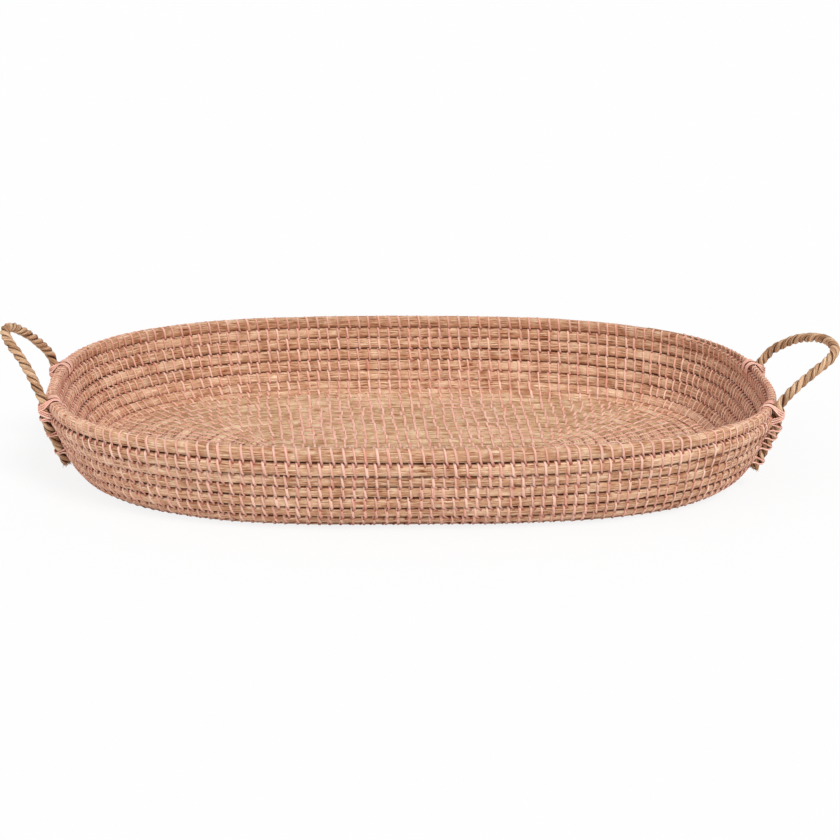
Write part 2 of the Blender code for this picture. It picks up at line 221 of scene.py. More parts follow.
def half_turn(first, last):
    """Facings from one long side's middle to the other's, much closer where the oval is nearly straight."""
    share = np.linspace(-1, 1, TURN_SAMPLES)
    eased = np.sign(share) * (1 - (1 - np.abs(share)) ** TURN_CROWDING)
    return (first + last) / 2 + (last - first) / 2 * eased


def lay_spiral():
    """The table's columns: facing, course, course below, size and the number of the half turn."""
    start = half_turn(-90, 90)
    runs = [(start[start > START_FACING], -1), (half_turn(90, 270), -1)]
    for number in range(RIM_COURSE):
        runs += [(half_turn(-90, 90), number), (half_turn(90, 270), number)]
    rows = []
    for index, (angles, number) in enumerate(runs):
        at = number + climb(angles)
        grown = START_SIZE + (1 - START_SIZE) * np.minimum(at / 2, 1)
        thinned = grown - RIM_THINNING * np.clip(at - RIM_COURSE + 1, 0, 1)
        rows.append((angles, at, at - 1, thinned, np.full(len(angles), index)))
    end = half_turn(-90, 90)
    end = end[climb(end) < END_CLIMB_SHARE]
    climbed = climb(end)
    thinned = (1 - RIM_THINNING) * (1 - climbed)
    last = np.full(len(end), len(runs))
    rows.append((end, RIM_COURSE + climbed / 2, RIM_COURSE - 1 + climbed, thinned, last))
    return [np.concatenate(column) for column in zip(*rows)]


facing, course, below, size, half = lay_spiral()
centre = course_point(course, facing)
distance = np.concatenate([[0.0], np.cumsum(np.linalg.norm(np.diff(centre, axis=0), axis=1))])
kept = np.concatenate([[True], np.diff(distance) > 1e-7])
facing, course, below, size, half, centre, distance = (
    column[kept] for column in (facing, course, below, size, half, centre, distance)
)
print(f"the bundle is {distance[-1]:.1f} m long")


# %% Directions at each row of the table
def directions(at_course):
    """Along the bundle, up to the next course and out of the wall, which is square to both."""
    rise = course_point(at_course + 0.01, facing) - course_point(at_course - 0.01, facing)
    run = np.gradient(centre, distance, axis=0)
    out = unit(np.cross(run, rise))
    return unit(run), unit(np.cross(out, run)), out


along, up, out = directions(course)
has_below = (below > 0.1)[:, None]
lower_centre = np.where(has_below, course_point(np.maximum(below, 0.1), facing), centre - up * COURSE_PITCH)
_, lower_up, lower_out = directions(np.maximum(below, 0.2))
lower_up = np.where(has_below, lower_up, up)
lower_out = np.where(has_below, lower_out, out)


# %% Stitch count along the spiral
def count_stitches():
    """Stitches sewn up to each row: distance over spacing, then eased round each end to a whole number."""
    far_share = (1 + centre[:, 1] / HALF_WIDTH) / 2
    spacing = NEAR_SPACING + (FAR_SPACING - NEAR_SPACING) * far_share
    wall_share = np.clip((course - FLOOR_COURSES + 1) / 2, 0, 1)
    spacing *= 1 - END_CLOSER * np.cos(np.radians(facing)) ** 2 * wall_share
    steps = np.diff(distance) / ((spacing[1:] + spacing[:-1]) / 2)
    raw = np.concatenate([[0.0], np.cumsum(steps)])
    total = np.zeros_like(raw)
    done = 0.0
    for index in np.unique(half):
        rows = np.flatnonzero(half == index)
        here = raw[rows] - raw[max(rows[0] - 1, 0)]
        middle = 0.0 if facing[rows[-1]] <= 90 else 180.0
        share = np.clip((facing[rows] - middle + EASE_ANGLE) / (2 * EASE_ANGLE), 0, 1)
        eased = share * share * (3 - 2 * share)
        total[rows] = done + here + (round(here[-1]) - here[-1]) * eased
        done += round(here[-1])
    lean = np.clip(FLOOR_COURSES - course, 0, None) * FLOOR_COLUMN_DRIFT / spacing
    return np.maximum.accumulate(total + lean)


stitch_count = count_stitches()
print(f"{int(stitch_count[-1])} stitches")

# %% [markdown]
# ## From rings to a mesh
# Bundles, stitches, rope strands and lashings are all tubes. One helper joins rings of points into
# closed tubes and gives them a UV map in metres, along and round, so that fibres drawn on it run the
# way real stems do. It turns the faces outwards by looking at the sign of the volume.


# %% Tubes from rings
def tubes(name, rings, lengths, widths, tone, painted_shade=0.0):
    """One mesh of closed tubes from rings of points, shaped (tubes, rings, points round, 3).

    A face joins two neighbours on one ring to the same two on the next, and a flat face closes each end.
    Tone and the amount of painted shade are numbers from 0 to 1 that the finishes read.
    """
    count, n, m = rings.shape[:3]
    base = np.arange(count)[:, None, None] * (n * m)
    ring, place = np.meshgrid(np.arange(n - 1), np.arange(m), indexing="ij")
    beside = (place + 1) % m
    beyond = (ring + 1) * m
    corners = np.stack([ring * m + place, beyond + place, beyond + beside, ring * m + beside], axis=-1)
    quads = (base[..., None] + corners[None]).reshape(-1, 4)
    first = base[:, 0] + np.arange(m)
    last = base[:, 0] + (n - 1) * m + np.arange(m)[::-1]
    points = rings.reshape(-1, 3)
    a, b, c, d = (points[quads[: (n - 1) * m, i]] for i in range(4))
    volume = (np.cross(a, b) * c).sum() + (np.cross(a, c) * d).sum()
    corner_u = np.stack([ring, ring + 1, ring + 1, ring], axis=-1)
    corner_v = np.stack([place, place, place + 1, place + 1], axis=-1)
    if volume < 0:
        quads, first, last = quads[:, ::-1], first[:, ::-1], last[:, ::-1]
        corner_u, corner_v = corner_u[..., ::-1], corner_v[..., ::-1]
    lengths = np.broadcast_to(lengths, (count, n))
    u = lengths[:, corner_u].reshape(-1)
    v = np.broadcast_to(widths[corner_v], (count,) + corner_v.shape).reshape(-1)
    faces = np.concatenate([quads.ravel(), first.ravel(), last.ravel()])
    sizes = np.concatenate([np.full(len(quads), 4), np.full(2 * count, m)])
    mesh = bpy.data.meshes.new(name)
    mesh.vertices.add(len(points))
    mesh.vertices.foreach_set("co", points.astype(np.float32).ravel())
    mesh.loops.add(len(faces))
    mesh.loops.foreach_set("vertex_index", faces.astype(np.int32))
    mesh.polygons.add(len(sizes))
    mesh.polygons.foreach_set("loop_start", np.concatenate([[0], np.cumsum(sizes)[:-1]]).astype(np.int32))
    mesh.polygons.foreach_set("use_smooth", np.arange(len(sizes)) < len(quads))
    mesh.update(calc_edges=True)
    ends = np.repeat(np.stack([lengths[:, 0], lengths[:, -1]]).ravel(), m)
    uv = np.stack([np.concatenate([u, ends]), np.concatenate([v, np.zeros(len(ends))])], axis=-1)
    mesh.uv_layers.new(name="fibre").data.foreach_set("uv", uv.astype(np.float32).ravel())
    for label, values in (("tone", tone), ("painted_shade", painted_shade)):
        spread = np.broadcast_to(values, (count, n, m)).astype(np.float32)
        mesh.attributes.new(label, "FLOAT", "POINT").data.foreach_set("value", spread.ravel())
    print(f"{name}: {len(quads) * 2 + 2 * count * (m - 2)} triangles")
    return put(name, mesh)


def at_rows(values, count, wanted):
    """Rows of the table at wanted counts or distances, by straight-line interpolation of each column."""
    return np.stack([np.interp(wanted, count, values[:, i]) for i in range(values.shape[1])], axis=-1)


# %% [markdown]
# ## The bundles
# Each course is a bundle of stems as thick as a finger. The sewing pulls it in at every stitch and lets
# it swell between, and pressing course on course makes its section a little square. No hand keeps it
# perfectly even, so the size and the line wander by a few tenths of a millimetre.
#
# Two numbers go with every point. Tone is how pale the stems are, and painted shade darkens the point as it
# nears a neighbour, in the crease. The inside of the wall gets a little painted shade everywhere, more at
# the ends.
# The bundle is divided into floor, wall and rim, where the part divides it.

# %% The bundles
BUNDLE_OUT, BUNDLE_UP = 0.00635, 0.00722
SECTION_POWER = 3.2
SIDE_CROWDING = 0.25
STITCH_PULL, PULL_SHARPNESS = 0.030, 6
GROUND_CLEARANCE = 0.0003
CREASE_SHADE_WIDTH, RIM_SHADE_NARROWER = 41.0, 12.0
FLOOR_SHADE_FADE, INNER_SHADE_FADE = 0.40, 0.40
INNER_WALL_SHADE, END_WALL_SHADE, RIGHT_END_MORE_SHADE = 0.14, 0.10, 0.07
FLOOR_DULLER, RIM_DULLER = 0.03, 0.16
random = np.random.default_rng(24)


def wander(place, wavelengths, amplitude):
    """Sum of sine waves of these lengths, each with a seeded start: a smooth uneven line."""
    starts = random.uniform(0, 2 * np.pi, len(wavelengths))
    waves = [np.sin(2 * np.pi * place / length + start) for length, start in zip(wavelengths, starts)]
    return amplitude * sum(waves) / len(waves)


def section_angles(sides):
    """Angles round a bundle, from 0, further apart by the creases at 90 and 270 degrees."""
    even = np.linspace(0, 2 * np.pi, sides + 1)[:-1]
    return even - SIDE_CROWDING * np.sin(2 * even)


def section(angles):
    """Out and up of a rounded square: cosine and sine, each raised to two over the section's power."""
    cosine, sine = np.cos(angles), np.sin(angles)
    power = 2 / SECTION_POWER
    return np.sign(cosine) * np.abs(cosine) ** power, np.sign(sine) * np.abs(sine) ** power


swell = 1 + wander(distance, (0.31, 0.13, 0.071, 0.043), 0.030)
shift_out = wander(distance, (0.47, 0.21, 0.093), 0.00045)
shift_up = wander(distance, (0.53, 0.19, 0.087), 0.00030)
body_centre = centre + out * shift_out[:, None] + up * shift_up[:, None]
paleness = 0.5 + wander(distance, (1.31, 0.83, 0.37, 0.17, 0.091), 0.45)
on_wall = np.clip((course - FLOOR_COURSES) / 1.5, 0, 1)
on_rim = np.clip(course - RIM_COURSE + 1, 0, 1)
under_rim = np.clip(course - RIM_COURSE + 2, 0, 1)
at_end = on_wall * np.cos(np.radians(facing)) ** 2
# Painted shade on the inside of the wall: a little everywhere, more at the ends, most at the right end.
inner_wall_shade = on_wall * INNER_WALL_SHADE + at_end * (END_WALL_SHADE + RIGHT_END_MORE_SHADE * np.cos(np.radians(facing)))
last_loop = half.max() - 2
topped = np.where(half < last_loop, 1.0, np.where(half == last_loop, 1 - climb(facing), 0.0))


def bundle(part, start, end, step, sides):
    """A part of the bundle between two distances along the spiral, as rings of its section.

    Its painted shade is one where it touches a neighbour and falls off like a bell curve round it.
    """
    places = np.linspace(start, end, int((end - start) / step))
    at = at_rows(np.hstack([body_centre, up, out]), distance, places)
    spot, rise, away = at[:, :3], unit(at[:, 3:6]), unit(at[:, 6:])

    def here(column):
        """A column of the table at each place."""
        return np.interp(places, distance, column)[:, None]

    phase = here(stitch_count)
    pull = 1 - STITCH_PULL * np.cos(np.pi * (phase - 0.5 - np.round(phase - 0.5))) ** PULL_SHARPNESS
    girth = here(swell * size) * pull
    angles = section_angles(sides)
    across, over = section(angles)
    rings = spot[:, None] + girth[..., None] * (
        BUNDLE_OUT * across[None, :, None] * away[:, None] + BUNDLE_UP * over[None, :, None] * rise[:, None]
    )
    rings[..., 2] = np.maximum(rings[..., 2], GROUND_CLEARANCE)
    widths = np.linspace(0, 2 * np.pi * BUNDLE_UP, sides + 1)
    flat = here((course < FLOOR_COURSES - 0.5).astype(float))
    # Painted shade: dark bands where the bundle touches the course above and below, narrower at the rim,
    # weaker on the floor and on the inside face.
    top_width = CREASE_SHADE_WIDTH - RIM_SHADE_NARROWER * here(under_rim)
    low_width = CREASE_SHADE_WIDTH - RIM_SHADE_NARROWER * here(on_rim)
    painted_shade = here(topped) * np.exp(-(((np.degrees(angles) - 90) / top_width) ** 4))
    painted_shade = painted_shade + np.exp(-(((np.degrees(angles) - 270) / low_width) ** 4))
    inward = np.clip(-np.cos(angles), 0, 1)
    painted_shade = painted_shade * (1 - FLOOR_SHADE_FADE * flat) * (1 - INNER_SHADE_FADE * inward)
    # Painted shade on the faces turned into the basket, added to the crease shade.
    inner_shade = here(inner_wall_shade) * np.clip(0.2 - 1.5 * np.cos(angles), 0, 1)
    painted_shade = painted_shade + inner_shade * (1 - painted_shade)
    tone = here(paleness) - (FLOOR_DULLER * flat + RIM_DULLER * here(on_rim))
    thing = tubes(f"{part}_bundle", rings[None], places[None], widths, tone, painted_shade)
    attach(thing, "basket")
    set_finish(thing, "seagrass")
    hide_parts(f"{part}_coil")
    return thing


near_middles = [distance[np.flatnonzero(half == index)[0]] for index in range(2, int(half.max()) + 1, 2)]
floor_end, wall_end = near_middles[FLOOR_COURSES], near_middles[RIM_COURSE - 1]
floor_bundle = bundle("floor", 0.0, floor_end, step=0.0029, sides=16)
bundle("wall", floor_end, wall_end, step=0.0028, sides=20)
bundle("rim", wall_end, distance[-1], step=0.0018, sides=24)

# %% [markdown]
# ## The stitches
# Every stitch comes up through the course below on the inside, goes up and over the new bundle, comes
# down its outside and dives into the course below again. It is a flat strand, so it lies down on the
# bundle, and it moves forward all the way round. That is why stitches slant the same way everywhere.
#
# There are about three thousand, so each has only a few dozen faces: a thin strip with a domed back.

# %% The stitches
STITCH_TURNS = np.radians([228.0, 205.0, 170.0, 130.0, 90.0, 50.0, 10.0, -25.0, -48.0])
FLOOR_ADVANCE, WALL_ADVANCE, ADVANCE_SPREAD = 0.0015, 0.0088, 0.0010
STRAND_WIDTH, STRAND_THICKNESS, STRAND_LIE = 0.0030, 0.00075, 0.00022
FOOT_OUT, FOOT_UP = np.array([[0.0060], [0.0044]]), np.array([[0.0050], [0.0040]])
FOOT_TAPER = (0.6, 0.85)
FLOOR_STRAND_SHARE, WALL_NARROWER, END_NARROWER, WIDTH_SPREAD = 1.15, 0.15, 0.18, 0.10
PATH_CLEARANCE = 0.0005
FIBRE_STRETCH = 0.047
FLOOR_UNEVENNESS, WALL_UNEVENNESS = 0.085, 0.045
STRAND_INNER_SHADE, RIM_STRAND_DULLER = 0.14, 0.45

STRIP_WIDTHS = np.array([0.0, 0.0007, 0.0023, 0.0030, 0.0060])
# Painted shadow along both edges of a strip, standing in for the shade beside the strand's thickness.
STRIP_EDGE_SHADE = np.array([0.6, 0.0, 0.0, 0.6])


def strip_rings(path, outward, width, thickness):
    """Rings of a flat strand with a domed back: edges just under the path, two points above it."""
    run = unit(np.gradient(path, axis=1))
    side = unit(np.cross(run, outward))
    lift = np.cross(side, run)
    across = np.array([0.5, 0.28, -0.28, -0.5])
    raised = np.array([-0.25, 0.75, 0.75, -0.25])
    return (
        path[:, :, None]
        + side[:, :, None] * (across * width[..., None])[..., None]
        + lift[:, :, None] * (raised * thickness[..., None])[..., None]
    )


def stitches(name, first, last, unevenness):
    """The stitches between two counts, each a path round the bundle with both feet in the course below."""
    numbers = np.arange(math.ceil(first - 0.5), math.floor(last - 0.5)) + 0.5
    numbers = numbers + random.normal(0, unevenness, len(numbers))

    def here(column):
        """A column of the table at each stitch."""
        return np.interp(numbers, stitch_count, column)

    girths = (swell * size)[:, None]
    table = np.hstack([body_centre, along, up, out, lower_centre, lower_up, lower_out, girths])
    at = at_rows(table, stitch_count, numbers)
    spot, run, rise, away, low_spot, low_rise, low_away = (at[:, None, i : i + 3] for i in range(0, 21, 3))
    girth = at[:, 21][:, None, None]
    across, over = (part[None, :, None] for part in section(STITCH_TURNS))
    far_out, far_up = BUNDLE_OUT * girth + STRAND_LIE, BUNDLE_UP * girth + STRAND_LIE
    ring = spot + away * across * far_out + rise * over * far_up
    outside = low_spot + low_away * FOOT_OUT + low_rise * FOOT_UP
    inside = low_spot - low_away * FOOT_OUT[::-1] + low_rise * FOOT_UP[::-1]
    path = np.concatenate([inside, ring, outside], axis=1)
    wall_share = np.clip((here(course) - FLOOR_COURSES + 1.5) / 2.5, 0, 1)
    advance = FLOOR_ADVANCE + (WALL_ADVANCE - FLOOR_ADVANCE) * wall_share
    advance = advance + random.normal(0, ADVANCE_SPREAD, len(numbers))
    path = path + run * (advance[:, None] * np.linspace(-0.5, 0.5, path.shape[1]))[..., None]
    path[..., 2] = np.maximum(path[..., 2], PATH_CLEARANCE)
    outward = np.cross(np.gradient(path, axis=1), run)
    taper = np.array([*FOOT_TAPER, *np.ones(len(STITCH_TURNS)), *FOOT_TAPER[::-1]])
    narrower = WALL_NARROWER * wall_share + END_NARROWER * here(at_end)
    share = FLOOR_STRAND_SHARE - narrower + random.normal(0, WIDTH_SPREAD, len(numbers))
    width = STRAND_WIDTH * share[:, None] * taper
    rings = strip_rings(path, unit(outward), width, np.full_like(width, STRAND_THICKNESS))
    rings[..., 2] = np.maximum(rings[..., 2], 0.0)
    steps = np.cumsum(np.linalg.norm(np.diff(path, axis=1), axis=2), axis=1)
    lengths = np.concatenate([np.zeros((len(path), 1)), steps], axis=1) + numbers[:, None] * FIBRE_STRETCH
    tone = random.uniform(0, 1, len(numbers)) * (0.5 + 0.5 * wall_share) + 0.1 * (1 - wall_share)
    tone = tone * (1 - RIM_STRAND_DULLER * here(on_rim))
    # Painted shade: feet darker where they dive into the course below, the inner side of the wall darker,
    # and dark strip edges.
    middle = [0.0] * (len(STITCH_TURNS) - 2)
    painted_shade = np.array([1.0, 0.7, 0.2, *middle, 0.2, 0.7, 1.0]) * (0.4 + 0.6 * wall_share[:, None])
    inward = np.concatenate([[1, 1], np.clip(-1.5 * np.cos(STITCH_TURNS), 0, 1), [0, 0]])
    painted_shade = np.maximum(painted_shade, here(STRAND_INNER_SHADE * on_wall)[:, None] * inward)
    painted_shade = np.maximum(painted_shade[..., None], STRIP_EDGE_SHADE * (0.3 + 0.4 * wall_share[:, None, None]))
    thing = tubes(name, rings, lengths, STRIP_WIDTHS, tone[:, None, None], painted_shade)
    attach(thing, "basket")
    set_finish(thing, "strand")


floor_last, wall_last = np.interp([floor_end, wall_end], distance, stitch_count)
stitches("floor_stitches", 1.0, floor_last, FLOOR_UNEVENNESS)
stitches("wall_stitches", floor_last, wall_last, WALL_UNEVENNESS)
stitches("rim_stitches", wall_last, stitch_count[-1] - 3, WALL_UNEVENNESS)

# %% [markdown]
# ## The handle ropes
# Each handle is one rope of three strands, laid left-handed. It runs up the outside of the wall, leaves
# the rim under its lashing, swings out in a loop and comes back down. The rope is stiff, so the loop
# stands by itself. The centre line repeats the part's route, and each strand winds round it.
#
# The loop swings on its two rim lashings and the legs don't.

# %% The line of each rope
ROPE_DIAMETER = 0.0107
ROPE_SEAT = 0.0106
ROPE_LAY = 0.030
HINGE_COURSE, HINGE_HEIGHT = RIM_COURSE + 0.433, 0.0952
LEG_COURSES, LEG_POINTS = 4.6, 7
HANDLES = {
    "left": {
        "side": -1, "far": 0.044, "near": -0.0855, "rise": 0.064, "reach": 0.046,
        "bindings": (0.85, 2.0, 3.6),
        "route": (
            (0.005, 0.12, 0.05), (0.055, 0.30, 0.15), (0.20, 0.64, 0.455), (0.39, 0.92, 0.805),
            (0.60, 0.98, 0.92), (0.74, 0.85, 0.77), (0.84, 0.66, 0.52), (0.93, 0.42, 0.28),
            (0.985, 0.16, 0.10),
        ),
    },
    "right": {
        "side": 1, "far": 0.040, "near": -0.112, "rise": 0.0558, "reach": 0.0605,
        "bindings": (1.0, 1.6, 2.6, 3.9),
        "route": (
            (0.01, 0.14, 0.065), (0.055, 0.40, 0.24), (0.20, 0.74, 0.605), (0.45, 0.95, 0.915),
            (0.72, 1.00, 1.00), (0.88, 0.90, 0.86), (0.93, 0.66, 0.57), (0.96, 0.38, 0.28),
            (0.99, 0.14, 0.07),
        ),
    },
}


def wall_frame(at_course, at_facing):
    """Point of the wall's middle, and the ways along, up and out of it there."""
    here = course_point(at_course, at_facing)
    rise = course_point(at_course + 0.01, at_facing) - course_point(at_course - 0.01, at_facing)
    run = course_point(at_course, at_facing + 0.5) - course_point(at_course, at_facing - 0.5)
    away = unit(np.cross(run, rise))
    return here, unit(run), unit(np.cross(away, run)), away


def facing_at(side, y):
    """The way the rim faces where it passes a distance across the basket, at its left or right end."""
    faces = np.linspace(-70, 70, 1401)
    there = course_point(RIM_COURSE, faces)[:, 1]
    found = np.interp(y, there, faces)
    return found if side > 0 else 180 - found


def leg_line(at_facing):
    """Centre of the rope down the outside of the wall, from the hinge to its end."""
    courses = np.linspace(HINGE_COURSE, RIM_COURSE - LEG_COURSES, LEG_POINTS)
    here, _, _, away = wall_frame(courses, np.full(LEG_POINTS, at_facing))
    return here + away * ROPE_SEAT


def smooth_line(points, step):
    """Even points on a Catmull-Rom curve through the given ones. Columns after the third ride along."""
    fine = np.linspace(0, len(points) - 1, 40 * len(points))
    curve = np.stack([smooth_at(column, fine) for column in points.T], axis=-1)
    places = np.concatenate([[0.0], np.cumsum(np.linalg.norm(np.diff(curve[:, :3], axis=0), axis=1))])
    even = np.linspace(0, places[-1], int(places[-1] / step))
    return at_rows(curve, places, even), even


def rope_line(handle):
    """Leg, loop and leg as one line. The loop's points are shares of the way across, rise and reach."""
    far_leg = leg_line(facing_at(handle["side"], handle["far"]))
    near_leg = leg_line(facing_at(handle["side"], handle["near"]))
    across = near_leg[0] - far_leg[0]
    away = unit(np.array([across[1], -across[0], 0.0]))
    away = away * np.sign(away[0] * handle["side"])
    way, rise, reach = np.array(handle["route"]).T[:, :, None]
    lifted = np.array([0.0, 0.0, handle["rise"]]) * rise
    loop = far_leg[0] + across * way + away * handle["reach"] * reach + lifted
    return np.concatenate([far_leg[::-1], loop, near_leg])


# %% The three strands
ROPE_STEP = 0.0016
STRAND_SIDES, STRAND_SHARE, RIBS = 12, 0.52, 5
FIBRES_ROUND = 0.016
ROPE_TONES = (0.2, 0.5, 0.8)
LEG_SHADE, SHADE_HEIGHT, SHADE_FADE = 0.30, 0.092, 0.008


def rope(name, line, side):
    """Three strands round a line: each a tube whose centre winds left-handed round it once in a lay."""
    spot, places = smooth_line(line, ROPE_STEP)
    run = unit(np.gradient(spot, axis=0))
    flat = np.broadcast_to(unit(np.array([side * 0.6, 0.1, -1.0])), run.shape)
    first = unit(flat - (flat * run).sum(1, keepdims=True) * run)
    second = np.cross(run, first)
    strand_radius = ROPE_DIAMETER / 2 * STRAND_SHARE
    winding = ROPE_DIAMETER / 2 - strand_radius
    angles = np.linspace(0, 2 * np.pi, STRAND_SIDES + 1)[:-1]
    cosine, sine = np.cos(angles)[None, :, None], np.sin(angles)[None, :, None]
    rings = []
    for number in range(3):
        turn = -2 * np.pi * (places / ROPE_LAY + number / 3) + wander(places, (0.11, 0.047), 0.35)
        away = np.cos(turn)[:, None] * first + np.sin(turn)[:, None] * second
        core = spot + winding * away
        heading = unit(np.gradient(core, axis=0))
        beside = unit(np.cross(heading, away))
        raised = np.cross(beside, heading)
        girth = strand_radius * (1 + wander(places, (0.053, 0.021, 0.034), 0.07))
        girth = girth[:, None] * (1 + 0.05 * np.cos(RIBS * angles + number))[None]
        rings.append(core[:, None] + girth[..., None] * (cosine * raised[:, None] + sine * beside[:, None]))
    widths = np.linspace(0, FIBRES_ROUND, STRAND_SIDES + 1)
    lengths = np.stack([places + 0.9 * number for number in range(3)])
    # Painted shade in the grooves between the strands, and more of it on the legs low down, by the wall.
    shade = LEG_SHADE * np.clip((SHADE_HEIGHT - spot[:, 2]) / SHADE_FADE, 0, 1)[None, :, None]
    painted_shade = np.clip(0.70 - 1.1 * np.cos(angles) + shade, 0, 1)
    thing = tubes(name, np.stack(rings), lengths, widths, np.array(ROPE_TONES)[:, None, None], painted_shade)
    return thing, spot, places


ropes = {end: rope(f"{end}_rope", rope_line(handle), handle["side"]) for end, handle in HANDLES.items()}
for end, (piece, path, places) in ropes.items():
    print(f"{end} rope {places[-1]:.3f} m long")
    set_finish(piece, "rope")
    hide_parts(f"{end}_handle_loop", f"{end}_far_leg", f"{end}_near_leg")
    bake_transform(piece)

# %% [markdown]
# ## The lashings
# The same pink strand ties the rope on. At the rim it goes up out of the wall, over the rim, round the
# rope on a slant and into the wall, three strands from each hand, so they cross. Down the leg it goes
# round the rope in short bindings that cross too.

# %% The lashings
BINDING_WIDTH, BINDING_THICKNESS, BINDING_SPREAD = 0.0022, 0.0012, 0.06
BINDING_STEP, BINDING_POINTS = 0.0012, 48
BINDING_STRETCH = 0.31
END_SHADE = 0.004
TURN_LIE = 0.0004
FEET_OUT, FEET_RUN = np.array([0.0035, 0.0062]), np.array([0.0092, 0.0080])
CROSSED_TURNS = ((-0.0008, 0.0036), (0.0010, -0.0030))
RIM_OVER_OUT = np.array([-0.0052, -0.0072, -0.0062, -0.0018, 0.0034])
RIM_OVER_UP = np.array([-0.0060, -0.0010, 0.0048, 0.0081, 0.0078])
RIM_END_OUT, RIM_END_RUN, RIM_END_DROP = [0.0064, 0.0030], [-0.0082, -0.0094], (0.0010, 0.0016)
RIM_BESIDE, RIM_SPACING = 0.0034, 0.0023
RIM_LIE, RIM_STACK = 0.0006, 0.0002
RIM_FALL, RIM_FALL_STEP = (0.0050, -0.0046), 0.0024
RIM_WAY, RIM_END_WAY = 0.006, (0.005, -0.003)


def strand_over(name, turns, nodes):
    """Flat strands in one mesh. Each turn is control points and the way out at each, made even here."""
    made = []
    for points, ways in turns:
        line, places = smooth_line(np.hstack([points, ways]), BINDING_STEP)
        even = np.linspace(0, places[-1], BINDING_POINTS)
        spot = at_rows(line, places, even)
        made.append((spot[:, :3], unit(spot[:, 3:]), even))
    spots, ways, lengths = (np.stack(column) for column in zip(*made))
    lengths = lengths + np.arange(len(made))[:, None] * BINDING_STRETCH
    shares = 1 + random.normal(0, BINDING_SPREAD, len(made))
    width = np.full(spots.shape[:2], BINDING_WIDTH) * shares[:, None]
    rings = strip_rings(spots, ways, width, np.full(spots.shape[:2], BINDING_THICKNESS))
    # Painted shade near each end, where the strand goes into the wall, and painted shadow along both edges.
    to_end = np.minimum(lengths - lengths[:, :1], lengths[:, -1:] - lengths)
    painted_shade = np.maximum(np.clip(1 - to_end / END_SHADE, 0, 1)[..., None], STRIP_EDGE_SHADE)
    thing = tubes(name, rings, lengths, STRIP_WIDTHS, random.uniform(0.2, 1, (len(made), 1, 1)), painted_shade)
    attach(thing, "basket")
    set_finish(thing, "strand")
    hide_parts(*nodes)


def leg_turn(at_course, at_facing, drop, slant):
    """One slanting turn round a leg: half a circle round the rope, then into the wall on both sides."""
    here, run, rise, away = wall_frame(at_course, at_facing)
    angles = np.radians(np.linspace(-100, 100, 9))
    reach = ROPE_DIAMETER / 2 + TURN_LIE
    far_out = np.concatenate([FEET_OUT, ROPE_SEAT + reach * np.cos(angles), FEET_OUT[::-1]])
    far_run = np.concatenate([-FEET_RUN, reach * np.sin(angles), FEET_RUN[::-1]])
    far_up = drop + slant * far_run / FEET_RUN[0]
    way_out = np.pad(np.cos(angles), 2, constant_values=0.8)
    way_run = np.pad(np.sin(angles), 2, constant_values=(-0.6, 0.6))
    points = here + away * far_out[:, None] + run * far_run[:, None] + rise * far_up[:, None]
    return points, away * way_out[:, None] + run * way_run[:, None]


def rim_turn(at_facing, number, hand):
    """One strand of a rim lashing: up the inside of the wall, over the rim on one hand of the rope, round
    the rope on a downward slant, and into the wall on the other hand."""
    here, run, rise, away = wall_frame(RIM_COURSE, at_facing)
    run = run * hand
    angles = np.radians(np.linspace(75, -95, 9))
    reach = ROPE_DIAMETER / 2 + RIM_LIE + number * RIM_STACK
    falling = np.linspace(*RIM_FALL, 9) - number * RIM_FALL_STEP
    far_out = np.concatenate([RIM_OVER_OUT, ROPE_SEAT + reach * np.cos(angles), RIM_END_OUT])
    beside = np.full(5, RIM_BESIDE + number * RIM_SPACING)
    far_run = np.concatenate([beside, reach * np.sin(angles), RIM_END_RUN])
    far_up = np.concatenate([RIM_OVER_UP, falling, [falling[-1] - drop for drop in RIM_END_DROP]])
    way_out = np.concatenate([RIM_OVER_OUT, RIM_WAY * np.cos(angles), np.full(2, RIM_END_WAY[0])])
    way_run = np.concatenate([np.zeros(5), RIM_WAY * np.sin(angles), np.full(2, RIM_END_WAY[1])])
    way_up = np.concatenate([RIM_OVER_UP, np.zeros(11)])
    points = here + away * far_out[:, None] + run * far_run[:, None] + rise * far_up[:, None]
    return points, away * way_out[:, None] + run * way_run[:, None] + rise * way_up[:, None]


for end, handle in HANDLES.items():
    for leg in ("far", "near"):
        at_facing = facing_at(handle["side"], handle[leg])
        turns = [rim_turn(at_facing, number, hand) for hand in (1, -1) for number in range(3)]
        strand_over(f"{end}_{leg}_rim_binding", turns, [f"{end}_{leg}_rim_lashing"])
        turns = [
            leg_turn(RIM_COURSE - courses, at_facing, drop, slant)
            for courses in handle["bindings"] for drop, slant in CROSSED_TURNS
        ]
        nodes = [f"{end}_{leg}_lashing_{number + 1}" for number in range(len(handle["bindings"]))]
        strand_over(f"{end}_{leg}_leg_bindings", turns, nodes)

# %% [markdown]
# ## Frayed ends and stray fibres
# Each leg of rope ends in a tuft of loose fibres, and fibres stand off the rope and the bundles here
# and there. They are what tells dry grass from cord. Each is a thin three-sided tube that bends once.

# %% Frayed ends and stray fibres
FIBRE_TAPER = np.array([1.0, 1.0, 0.95, 0.85, 0.7, 0.35])
FIBRE_ROUND = 0.002
TUFT_FIBRES, STRAY_STEMS, STRAND_TAILS = 46, 420, 150
TUFT_RADIUS, STEM_RADIUS, TAIL_RADIUS = 0.00042, 0.00035, 0.0008
TUFT_LENGTHS, STEM_LENGTHS, TAIL_LENGTHS = (0.003, 0.0055), (0.006, 0.020), (0.004, 0.010)
TUFT_SPREAD, TUFT_DEPTH = 0.0042, 0.002
TAIL_PLACES = [-58.0, 238.0]


